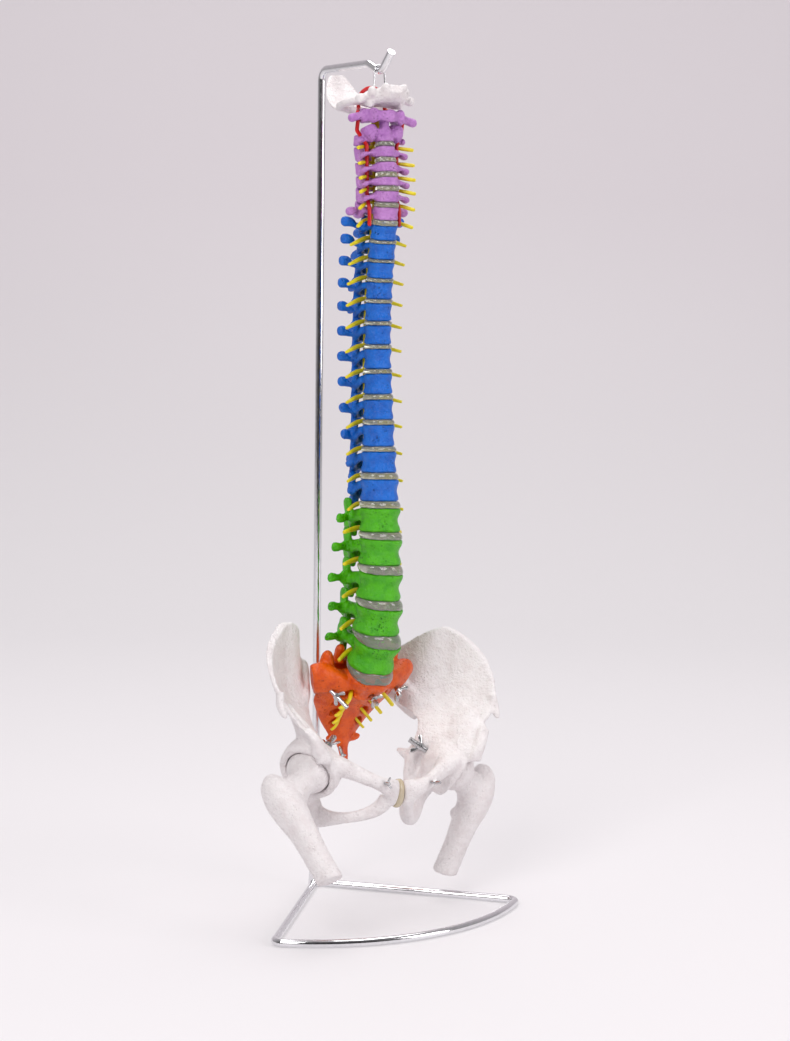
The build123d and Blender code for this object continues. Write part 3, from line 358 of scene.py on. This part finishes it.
BONE = {
    Region.NECK: CastBone("cervical_lilac", (0.51, 0.225, 0.58), deep=(0.42, 0.165, 0.50), gloss=0.36),
    Region.CHEST: CastBone(
        "thoracic_blue", (0.0, 0.14, 0.62), deep=(0.0, 0.10, 0.50), pit_painted_shade=0.45,
    ),
    Region.LOIN: CastBone(
        "lumbar_green", (0.075, 0.46, 0.0), deep=(0.045, 0.36, 0.0), pit_painted_shade=0.45,
    ),
    Region.SACRUM: CastBone(
        "sacral_orange", (0.76, 0.10, 0.0), deep=(0.62, 0.06, 0.0), gloss=0.2, relief=0.75, pit_painted_shade=0.8,
    ),
    Region.PELVIS: CastBone(
        "bone_white", (0.82, 0.78, 0.785), deep=(0.77, 0.715, 0.72), pores=0.45, pit_painted_shade=0.92,
        gloss=0.36, relief=0.85,
    ),
}
DISC_CLEAR = ClearCast("disc_clear", (0.56, 0.58, 0.47), clearness=0.75, haze=(0.66, 0.67, 0.57))
DISC_TAN = ClearCast("disc_tan", (0.68, 0.56, 0.38), clearness=0.3, haze=(0.75, 0.66, 0.48))
NERVE = SoftCord("nerve_yellow", (0.80, 0.68, 0.012), deep=(0.66, 0.52, 0.006))
ARTERY = SoftCord("artery_red", (0.62, 0.004, 0.008), deep=(0.42, 0.001, 0.003))
CHROME = Metal("stand_chrome", (0.82, 0.82, 0.84))
WIRE = Metal("hanger_steel", (0.66, 0.66, 0.68), roughness=0.2)
STEEL = Metal("fastener_steel", (0.58, 0.58, 0.59), roughness=0.22, scratch=0.1)


@dataclass(frozen=True)
class Relief:
    """Unevenness of a casting's surface, in millimetres."""

    swell: float = 0.30
    swell_size: float = 8.0
    ripple: float = 0.14
    ripple_size: float = 2.8

    def height(self, place: Vector) -> float:
        """Height of the surface over its smooth form.

        Args:
            place: Point in millimetres.

        Returns:
            Height in millimetres.
        """
        broad = noise.noise(place / self.swell_size) * self.swell
        return broad + noise.noise(place / self.ripple_size) * self.ripple


def smooth_step(value: float, start: float, end: float) -> float:
    """Share between two values that starts and ends softly.

    Args:
        value: Value to place.
        start: Value with share 0.
        end: Value with share 1.

    Returns:
        The share.
    """
    share = min(1.0, max(0.0, (value - start) / (end - start)))
    return share * share * (3.0 - 2.0 * share)


@dataclass(frozen=True)
class Placing:
    """Frame of a group of castings: its place in millimetres and its turns in degrees."""

    place: Xyz
    turns: Xyz

    def matrix(self) -> Matrix:
        """Returns the matrix from this frame, in millimetres, to the shared frame."""
        made = Matrix.Translation(self.place)
        for axis, turn in zip("XYZ", self.turns):
            made = made @ Matrix.Rotation(math.radians(turn), 4, axis)
        return made


MIRROR = Matrix.Scale(-1.0, 4, (1.0, 0.0, 0.0))
PELVIS_FRAME = Placing((0.0, -128.0, 149.0), (0.0, 6.1, 3.0))
SACRUM_FRAME = Placing((3.6, -97.8, 239.2), (33.0, 6.1, 3.0))
Station = tuple[Xyz, float, float]


@dataclass(frozen=True)
class Limb:
    """Rounded arm through stations, each with its centre, width along the side and depth."""

    stations: tuple[Station, ...]
    side: Xyz = (1.0, 0.0, 0.0)
    last: Xyz | None = None
    steps: int = 6
    corners: int = 28

    def between(self, index: int, share: float) -> list[float]:
        """Smooth value between two stations.

        Args:
            index: Number of the first of the two.
            share: Share of the way to the next.

        Returns:
            Centre, width and depth in one row.
        """
        rows = [(*place, width, depth) for place, width, depth in self.stations]
        a, b, c, d = (rows[min(max(index + k, 0), len(rows) - 1)] for k in (-1, 0, 1, 2))
        t = share
        values = []
        for p, q, r, u in zip(a, b, c, d):
            square = (2 * p - 5 * q + 4 * r - u) * t * t
            cube = (3 * q - p - 3 * r + u) * t**3
            values.append(0.5 * (2 * q + (r - p) * t + square + cube))
        return values

    def add_to(self, mesh: bmesh.types.BMesh, frame_of: Matrix) -> None:
        """Adds the closed arm to a mesh.

        Args:
            mesh: Mesh that gets the arm.
            frame_of: Matrix from millimetres to the shared frame.
        """
        legs = len(self.stations) - 1
        rows = [self.between(i, k / self.steps) for i in range(legs) for k in range(self.steps)]
        rows.append(self.between(legs - 1, 1.0))
        rings = []
        for n, (x, y, z, width, depth) in enumerate(rows):
            ahead = Vector(rows[min(n + 1, len(rows) - 1)][:3]) - Vector(rows[max(n - 1, 0)][:3])
            if n == len(rows) - 1 and self.last:
                ahead = Vector(self.last)
            ahead.normalize()
            side = (Vector(self.side) - ahead * ahead.dot(Vector(self.side))).normalized()
            across = ahead.cross(side)
            ring = []
            for k in range(self.corners):
                turn = math.tau * k / self.corners
                point = Vector((x, y, z)) + side * (width / 2 * math.cos(turn))
                point = point + across * (depth / 2 * math.sin(turn))
                ring.append(mesh.verts.new(frame_of @ point * MM))
            rings.append(ring)
        for low, high in zip(rings, rings[1:]):
            for k in range(self.corners):
                mesh.faces.new((low[k - 1], low[k], high[k], high[k - 1]))
        mesh.faces.new(rings[0][::-1])
        mesh.faces.new(rings[-1])


@dataclass(frozen=True)
class Flare:
    """Spreads the wing of a hip bone outward about its joint with the sacrum."""

    turn: float = 10.5
    shrink: float = 0.165
    pivot: tuple[float, float] = (50.0, 98.0)
    heights: tuple[float, float] = (12.0, 74.0)
    reach: tuple[float, float] = (42.0, 95.0)

    def move(self, place: Vector) -> Vector:
        """Moves one point of the left bone.

        Args:
            place: Point in the pelvis frame, in millimetres.

        Returns:
            The new point.
        """
        arm = Vector((place.x - self.pivot[0], place.y - self.pivot[1]))
        share = smooth_step(place.z, *self.heights) * smooth_step(arm.length, *self.reach)
        turn = math.radians(self.turn) * share
        arm *= 1.0 - self.shrink * share
        x = arm.x * math.cos(turn) - arm.y * math.sin(turn)
        y = arm.x * math.sin(turn) + arm.y * math.cos(turn)
        return Vector((self.pivot[0] + x, self.pivot[1] + y, place.z))


@dataclass(frozen=True)
class Hollows:
    """Openings sunk into the front of the sacrum, each as its height, aside and radius."""

    rows: tuple[tuple[float, float, float], ...] = (
        (-20.0, 23.0, 6.0), (-36.0, 21.0, 5.4), (-50.0, 18.0, 4.8), (-62.0, 15.0, 4.2),
    )
    front: float = 6.0
    sink: float = 8.0
    slant: float = 0.72
    fall: float = 0.4
    rim: float = 0.6

    def move(self, place: Vector) -> Vector:
        """Sinks one point of the front face.

        Args:
            place: Point in the sacrum frame, in millimetres.

        Returns:
            The new point.
        """
        if place.y > self.front:
            return place
        for height, aside, radius in self.rows:
            out = abs(place.x) - aside
            far = math.hypot(out * self.slant, place.z - height + out * self.fall)
            if far < radius:
                sunk = self.sink * (1.0 - (far / radius) ** 2) ** self.rim
                return place + Vector((0.0, sunk, 0.0))
        return place


@dataclass(frozen=True)
class SetBack:
    """Moves a stretch of tube back into the side processes that it runs through."""

    foot: tuple[float, float]
    top: tuple[float, float]
    depth: float = 4.5

    def move(self, place: Vector) -> Vector:
        """Moves one point of the tube.

        Args:
            place: Point in the shared frame, in millimetres.

        Returns:
            The new point.
        """
        share = smooth_step(place.z, *self.foot) * (1.0 - smooth_step(place.z, *self.top))
        return place + Vector((0.0, self.depth * share, 0.0))


def middle(node: str) -> float:
    """Height of the middle of a solid's box, in millimetres.

    Args:
        node: Name of the solid.

    Returns:
        The height.
    """
    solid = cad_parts[node]
    heights = [(solid.matrix_world @ Vector(corner)).z for corner in solid.bound_box]
    return (min(heights) + max(heights)) / 2 / MM


@dataclass
class Casting:
    """A piece that stands for one solid, rounded and finished from its surface."""

    node: str
    finish: Finish
    body: str = "root"
    voxel: float = 1.0
    rounds: int = 5
    relief: Relief | None = field(default_factory=Relief)
    limbs: tuple[Limb, ...] = ()
    ball: float = 0.0
    own_frame: Matrix | None = None
    keep_solid: bool = True
    form: Flare | Hollows | SetBack | None = None

    def source(self) -> bpy.types.Mesh:
        """Mesh of the solid with the casting's own limbs added.

        Returns:
            The mesh, in the row's frame.
        """
        made = bmesh.new()
        if self.keep_solid:
            made.from_mesh(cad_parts[self.node].data)
        for limb in self.limbs:
            limb.add_to(made, self.own_frame)
        if self.ball:
            grown = self.own_frame @ Matrix.Scale(self.ball, 4)
            bmesh.ops.create_icosphere(made, subdivisions=5, radius=1.0, matrix=Matrix.Scale(MM, 4) @ grown)
        if self.limbs:
            bmesh.ops.recalc_face_normals(made, faces=made.faces)
        mesh = bpy.data.meshes.new("rough_" + self.node)
        made.to_mesh(mesh)
        made.free()
        return mesh

    def rounded(self) -> bpy.types.Mesh:
        """Even mesh of the source with its inner corners filled.

        Returns:
            The mesh, in the row's frame.
        """
        rough = bpy.data.objects.new("rough_" + self.node, self.source())
        bpy.context.scene.collection.objects.link(rough)
        even = rough.modifiers.new("even", "REMESH")
        even.mode = "VOXEL"
        even.voxel_size = self.voxel * MM
        soft = rough.modifiers.new("soft", "SMOOTH")
        soft.factor = 0.5
        soft.iterations = self.rounds
        ready = rough.evaluated_get(bpy.context.evaluated_depsgraph_get())
        mesh = bpy.data.meshes.new_from_object(ready)
        bpy.data.objects.remove(rough)
        return mesh

    def bend(self, mesh: bpy.types.Mesh) -> None:
        """Moves each vertex by the casting's own form.

        Args:
            mesh: Mesh to work on.
        """
        into = self.own_frame.inverted()
        for vertex in mesh.vertices:
            vertex.co = self.own_frame @ self.form.move(into @ (vertex.co / MM)) * MM
        mesh.update()

    def raise_relief(self, mesh: bpy.types.Mesh) -> None:
        """Moves each vertex along its normal by the relief.

        Args:
            mesh: Mesh to work on.
        """
        count = len(mesh.vertices)
        places = np.empty(count * 3, np.float32)
        mesh.vertices.foreach_get("co", places)
        normals = np.empty(count * 3, np.float32)
        mesh.vertex_normals.foreach_get("vector", normals)
        places = places.reshape(-1, 3)
        normals = normals.reshape(-1, 3)
        heights = np.array([self.relief.height(Vector(p)) for p in places / MM], np.float32)
        places += normals * heights[:, None] * MM
        mesh.vertices.foreach_set("co", places.ravel())
        mesh.update()

    def build(self) -> bpy.types.Object:
        """Makes the piece.

        Returns:
            The object that replaces the solid.
        """
        mesh = self.rounded()
        if self.form is not None:
            self.bend(mesh)
        if self.relief is not None:
            self.raise_relief(mesh)
        mesh.polygons.foreach_set("use_smooth", [True] * len(mesh.polygons))
        mesh.materials.clear()
        mesh.materials.append(self.finish.material())
        piece = bpy.data.objects.new("cast_" + self.node, mesh)
        bpy.context.scene.collection.objects.link(piece)
        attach(piece, self.body)
        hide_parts(self.node)
        log.info("%s: %d faces", piece.name, len(mesh.polygons))
        return piece


def dress(node: str, finish: Finish) -> None:
    """Gives a solid of the frame its finish.

    Args:
        node: Name of the solid.
        finish: Finish that it gets.
    """
    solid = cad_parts[node]
    for index in range(max(1, len(solid.material_slots))):
        if not solid.material_slots:
            solid.data.materials.append(finish.material())
        solid.material_slots[index].material = finish.material()
    log.info("%s: dressed", node)


@dataclass
class Stand:
    """The chromed rod stand and the wire that the column hangs from."""

    rods: tuple[str, ...] = ("base_frame", "pole")

    def build(self) -> None:
        """Dresses the rods and the wire."""
        for rod in self.rods:
            dress(rod, CHROME)
        dress("hanger_wire", WIRE)


@dataclass
class Column:
    """Vertebrae, discs, cord and arteries."""

    neck: int = 7
    chest: int = 12
    loin: int = 5
    neck_voxel: float = 1.05
    trunk_voxel: float = 1.25
    disc_voxel: float = 1.0
    cord_voxel: float = 0.95
    artery_voxel: float = 0.8

    def levels(self) -> list[tuple[str, Region]]:
        """Names of the vertebrae from the top down, with their region."""
        counts = (
            (Region.NECK, "c", self.neck), (Region.CHEST, "t", self.chest), (Region.LOIN, "l", self.loin),
        )
        return [(f"{letter}{i + 1}", region) for region, letter, count in counts for i in range(count)]

    def build(self) -> None:
        """Makes every casting of the column."""
        for name, region in self.levels():
            voxel = self.neck_voxel if region is Region.NECK else self.trunk_voxel
            Casting(name, BONE[region], voxel=voxel).build()
        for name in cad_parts:
            if name.startswith("disc_"):
                Casting(name, DISC_CLEAR, voxel=self.disc_voxel, rounds=6, relief=None).build()
        Casting("spinal_cord", NERVE, voxel=self.cord_voxel, rounds=2, relief=None).build()
        run = SetBack(foot=(middle("c7"), middle("c6")), top=(middle("c2"), middle("c1")))
        Casting(
            "vertebral_arteries", ARTERY, voxel=self.artery_voxel, rounds=2, relief=None,
            own_frame=Matrix(), form=run,
        ).build()


@dataclass
class Pelvis:
    """Sacrum, hip bones, femur stumps, the plate under the head and the fasteners."""

    hip_voxel: float = 1.6
    sacrum_voxel: float = 1.2
    symphysis_voxel: float = 0.8
    hip_aside: float = 88.0
    head_radius: float = 22.5
    femur_rest: dict[str, Xyz] = field(
        default_factory=lambda: {"right": (-35.0, 6.0, -2.0), "left": (10.2, 1.8, -9.2)}
    )
    neck: Limb = Limb(
        (((7, 0, -5), 30, 31), ((19, 0, -13), 24, 29), ((28, 1, -20), 25, 34), ((38, 3, -30), 30, 44)),
        side=(0.0, 1.0, 0.0),
    )
    trochanter: Limb = Limb((
        ((44, 11, 3), 8, 9), ((43, 10, -1), 18, 18), ((42, 8, -10), 28, 30), ((39, 5, -24), 35, 36),
        ((36, 3, -40), 34, 34), ((32, 2, -56), 28, 30),
    ))
    shaft: Limb = Limb(
        (
            ((36, 3, -40), 32, 33), ((31, 2, -60), 27.5, 29), ((26.5, 1, -84), 25, 26),
            ((21, 0, -112), 25.5, 26),
        ),
        last=(0.0, 0.0, -1.0),
    )
    lesser: Limb = Limb(
        (((30, 7, -50), 20, 16), ((23, 13, -52), 13, 11), ((20, 16, -52.5), 6, 5)), side=(0.0, 0.0, 1.0),
    )
    plate: Limb = Limb((
        ((0, 5, -8), 70, 24), ((0, 8, -24), 92, 25), ((0, 9.5, -38), 94, 20), ((0, 8.5, -52), 78, 16),
        ((0, 5, -65), 58, 14), ((0, -1, -76), 38, 11), ((0, -6, -83), 22, 9),
    ))

    def femur(self, side: str) -> Casting:
        """One femur stump in the way that it hangs.

        Args:
            side: Name of the side.

        Returns:
            The casting.
        """
        hung = Placing((self.hip_aside, 0.0, 0.0), self.femur_rest[side]).matrix()
        own = PELVIS_FRAME.matrix() @ (MIRROR if side == "right" else Matrix()) @ hung
        return Casting(
            "femur_" + side, BONE[Region.PELVIS], "femur_" + side, voxel=self.hip_voxel, rounds=4,
            limbs=(self.neck, self.trochanter, self.shaft, self.lesser), ball=self.head_radius,
            own_frame=own, keep_solid=False,
        )

    def hip(self, side: str) -> Casting:
        """One hip bone with its wing spread.

        Args:
            side: Name of the side.

        Returns:
            The casting.
        """
        own = PELVIS_FRAME.matrix() @ (MIRROR if side == "right" else Matrix())
        return Casting(
            "hip_bone_" + side, BONE[Region.PELVIS], voxel=self.hip_voxel, rounds=6,
            own_frame=own, form=Flare(),
        )

    def build(self) -> None:
        """Makes the castings and dresses the fasteners."""
        Casting("occipital_plate", BONE[Region.PELVIS]).build()
        Casting(
            "sacrum", BONE[Region.SACRUM], voxel=self.sacrum_voxel, limbs=(self.plate,),
            own_frame=SACRUM_FRAME.matrix(), form=Hollows(),
        ).build()
        for side in ("right", "left"):
            self.hip(side).build()
            self.femur(side).build()
        Casting(
            "symphysis_disc", DISC_TAN, voxel=self.symphysis_voxel, rounds=4, relief=None,
        ).build()
        dress("fasteners", STEEL)


@dataclass(frozen=True)
class SoftBox:
    """One lamp: its name, middle in metres, width and height, power in watts and colour."""

    name: str
    place: Xyz
    size: tuple[float, float]
    power: float
    colour: Rgb


@dataclass
class Studio:
    """Floor with its rising backdrop, lamps and camera."""

    floor_colour: Rgb = (0.86, 0.83, 0.85)
    wall_colour: Rgb = (0.76, 0.705, 0.74)
    room_dim: tuple[float, Rgba] = (0.08, (0.10, 0.095, 0.10, 1.0))
    room_pale: tuple[float, Rgba] = (0.62, (0.84, 0.80, 0.82, 1.0))
    room_level: float = 0.5
    eye: Xyz = (-1.1700, -1.9355, 0.6351)
    yaw: float = -33.16
    pitch: float = 6.30
    roll: float = 0.72
    lens: float = 100.84
    sensor: float = 36.0
    aim: Xyz = (0.0, -0.1, 0.42)
    half_width: float = 5.0
    floor_reach: tuple[float, float] = (-3.0, 1.6)
    sweep_radius: float = 0.9
    sweep_first: float = 0.15
    sweep_steps: int = 12
    wall_top: float = 4.0
    paper_fade: float = 1.6
    paper_roughness: float = 0.45
    paper_glow: float = 0.45
    boxes: tuple[SoftBox, ...] = (
        SoftBox("key_box", (-2.2, -1.6, 2.1), (1.4, 1.8), 60.0, (1.0, 0.985, 0.98)),
        SoftBox("fill_box", (1.4, -2.4, 1.2), (1.2, 1.6), 32.0, (1.0, 0.97, 0.98)),
        SoftBox("top_box", (0.3, 0.2, 2.4), (1.6, 1.6), 30.0, (1.0, 1.0, 1.0)),
    )

    def backdrop(self) -> bpy.types.Object:
        """Makes the floor that curves up into a wall behind the object.

        Returns:
            The stage object.
        """
        front, back = self.floor_reach
        bow = self.sweep_radius
        turns = np.linspace(self.sweep_first, math.pi / 2, self.sweep_steps)
        profile = [(front, 0.0), (back, 0.0)]
        profile += [(back + bow * math.sin(a), bow - bow * math.cos(a)) for a in turns]
        profile.append((back + bow, self.wall_top))
        verts = [(side, y, z) for y, z in profile for side in (-self.half_width, self.half_width)]
        faces = [(2 * i, 2 * i + 1, 2 * i + 3, 2 * i + 2) for i in range(len(profile) - 1)]
        mesh = bpy.data.meshes.new("backdrop")
        mesh.from_pydata(verts, [], faces)
        mesh.polygons.foreach_set("use_smooth", [True] * len(mesh.polygons))
        mesh.materials.append(self.paper())
        sweep = bpy.data.objects.new("backdrop", mesh)
        sweep.matrix_world = Matrix.Rotation(math.radians(self.yaw), 4, "Z")
        bpy.context.scene.collection.objects.link(sweep)
        return sweep

    def paper(self) -> bpy.types.Material:
        """Makes the pale paper: lit by the lamps, and glowing by itself with painted light, its floor
        painted lighter than its wall.
        """
        s = Shader("backdrop_paper")
        place = s.node("ShaderNodeTexCoord").outputs["Object"]
        split = s.node("ShaderNodeSeparateXYZ", Vector=place)
        # painted light: the paper glows, and the floor part is painted lighter than the wall part
        level = s.span(split.outputs["Z"], (0.0, self.paper_fade))
        glow = s.ramp(level, [(0.0, self.floor_colour), (0.5, self.wall_colour)])
        lit = s.node("ShaderNodeBsdfPrincipled", Roughness=self.paper_roughness)
        s.links.new(glow, lit.inputs["Base Color"])
        shine = s.node("ShaderNodeEmission", Strength=1.0)
        s.links.new(glow, shine.inputs["Color"])
        mix = s.node("ShaderNodeMixShader", Fac=self.paper_glow)
        s.links.new(lit.outputs["BSDF"], mix.inputs[1])
        s.links.new(shine.outputs["Emission"], mix.inputs[2])
        return s.close(mix.outputs["Shader"])

    def lamp(self, box: SoftBox) -> None:
        """Adds a soft box that points at the column.

        Args:
            box: What the lamp is like.
        """
        data = bpy.data.lights.new(box.name, "AREA")
        data.shape = "RECTANGLE"
        data.size, data.size_y = box.size
        data.energy = box.power
        data.color = box.colour
        soft_box = bpy.data.objects.new(box.name, data)
        ahead = Vector(self.aim) - Vector(box.place)
        turn = ahead.to_track_quat("-Z", "Y").to_matrix().to_4x4()
        soft_box.matrix_world = Matrix.Translation(box.place) @ turn
        bpy.context.scene.collection.objects.link(soft_box)

    def lamps(self) -> None:
        """Adds the lamps and the room's own light."""
        for box in self.boxes:
            self.lamp(box)
        bpy.context.scene.world = self.room()

    def room(self) -> bpy.types.World:
        """Makes the room's light: pale around the backdrop, dim on the camera's side.

        Returns:
            The world.
        """
        room = bpy.data.worlds.new("room")
        room.use_nodes = True
        nodes, links = room.node_tree.nodes, room.node_tree.links
        course = nodes.new("ShaderNodeTexCoord")
        turn = nodes.new("ShaderNodeVectorRotate")
        turn.rotation_type = "Z_AXIS"
        turn.inputs["Angle"].default_value = -math.radians(self.yaw)
        links.new(course.outputs["Generated"], turn.inputs["Vector"])
        split = nodes.new("ShaderNodeSeparateXYZ")
        links.new(turn.outputs["Vector"], split.inputs["Vector"])
        depth = nodes.new("ShaderNodeMapRange")
        depth.inputs["From Min"].default_value = -1.0
        depth.inputs["From Max"].default_value = 1.0
        links.new(split.outputs["Y"], depth.inputs["Value"])
        ramp = nodes.new("ShaderNodeValToRGB")
        links.new(depth.outputs["Result"], ramp.inputs["Fac"])
        bands = ramp.color_ramp.elements
        bands[0].position, bands[0].color = self.room_dim
        bands[1].position, bands[1].color = self.room_pale
        links.new(ramp.outputs["Color"], nodes["Background"].inputs["Color"])
        nodes["Background"].inputs["Strength"].default_value = self.room_level
        return room

    def camera(self) -> None:
        """Places the camera where the photograph was taken from."""
        yaw, pitch, roll = (math.radians(a) for a in (self.yaw, self.pitch, self.roll))
        flat = math.cos(pitch)
        ahead = Vector((-math.sin(yaw) * flat, math.cos(yaw) * flat, -math.sin(pitch)))
        level = Vector((math.cos(yaw), math.sin(yaw), 0.0))
        upright = level.cross(ahead)
        right = level * math.cos(roll) + upright * math.sin(roll)
        up = upright * math.cos(roll) - level * math.sin(roll)
        turn = Matrix((right, up, -ahead)).transposed().to_4x4()
        data = bpy.data.cameras.new("camera")
        data.sensor_fit = "HORIZONTAL"
        data.sensor_width = self.sensor
        data.lens = self.lens
        eye = bpy.data.objects.new("camera", data)
        eye.matrix_world = Matrix.Translation(self.eye) @ turn
        bpy.context.scene.collection.objects.link(eye)
        bpy.context.scene.camera = eye

    def build(self) -> None:
        """Builds the whole studio."""
        self.backdrop()
        self.lamps()
        self.camera()
        bpy.context.scene.view_settings.view_transform = "Standard"


def main() -> None:
    """Builds the looks."""
    logging.basicConfig(level=logging.INFO, format="%(message)s")
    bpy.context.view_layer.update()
    Studio().build()
    Stand().build()
    Column().build()
    Pelvis().build()


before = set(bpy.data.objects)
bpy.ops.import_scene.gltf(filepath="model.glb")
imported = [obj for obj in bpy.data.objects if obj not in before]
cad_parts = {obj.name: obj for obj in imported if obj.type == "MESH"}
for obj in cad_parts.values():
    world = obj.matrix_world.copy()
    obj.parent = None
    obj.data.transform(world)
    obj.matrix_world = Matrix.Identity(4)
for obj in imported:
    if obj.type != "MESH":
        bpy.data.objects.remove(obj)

if __name__ == "__main__":
    main()
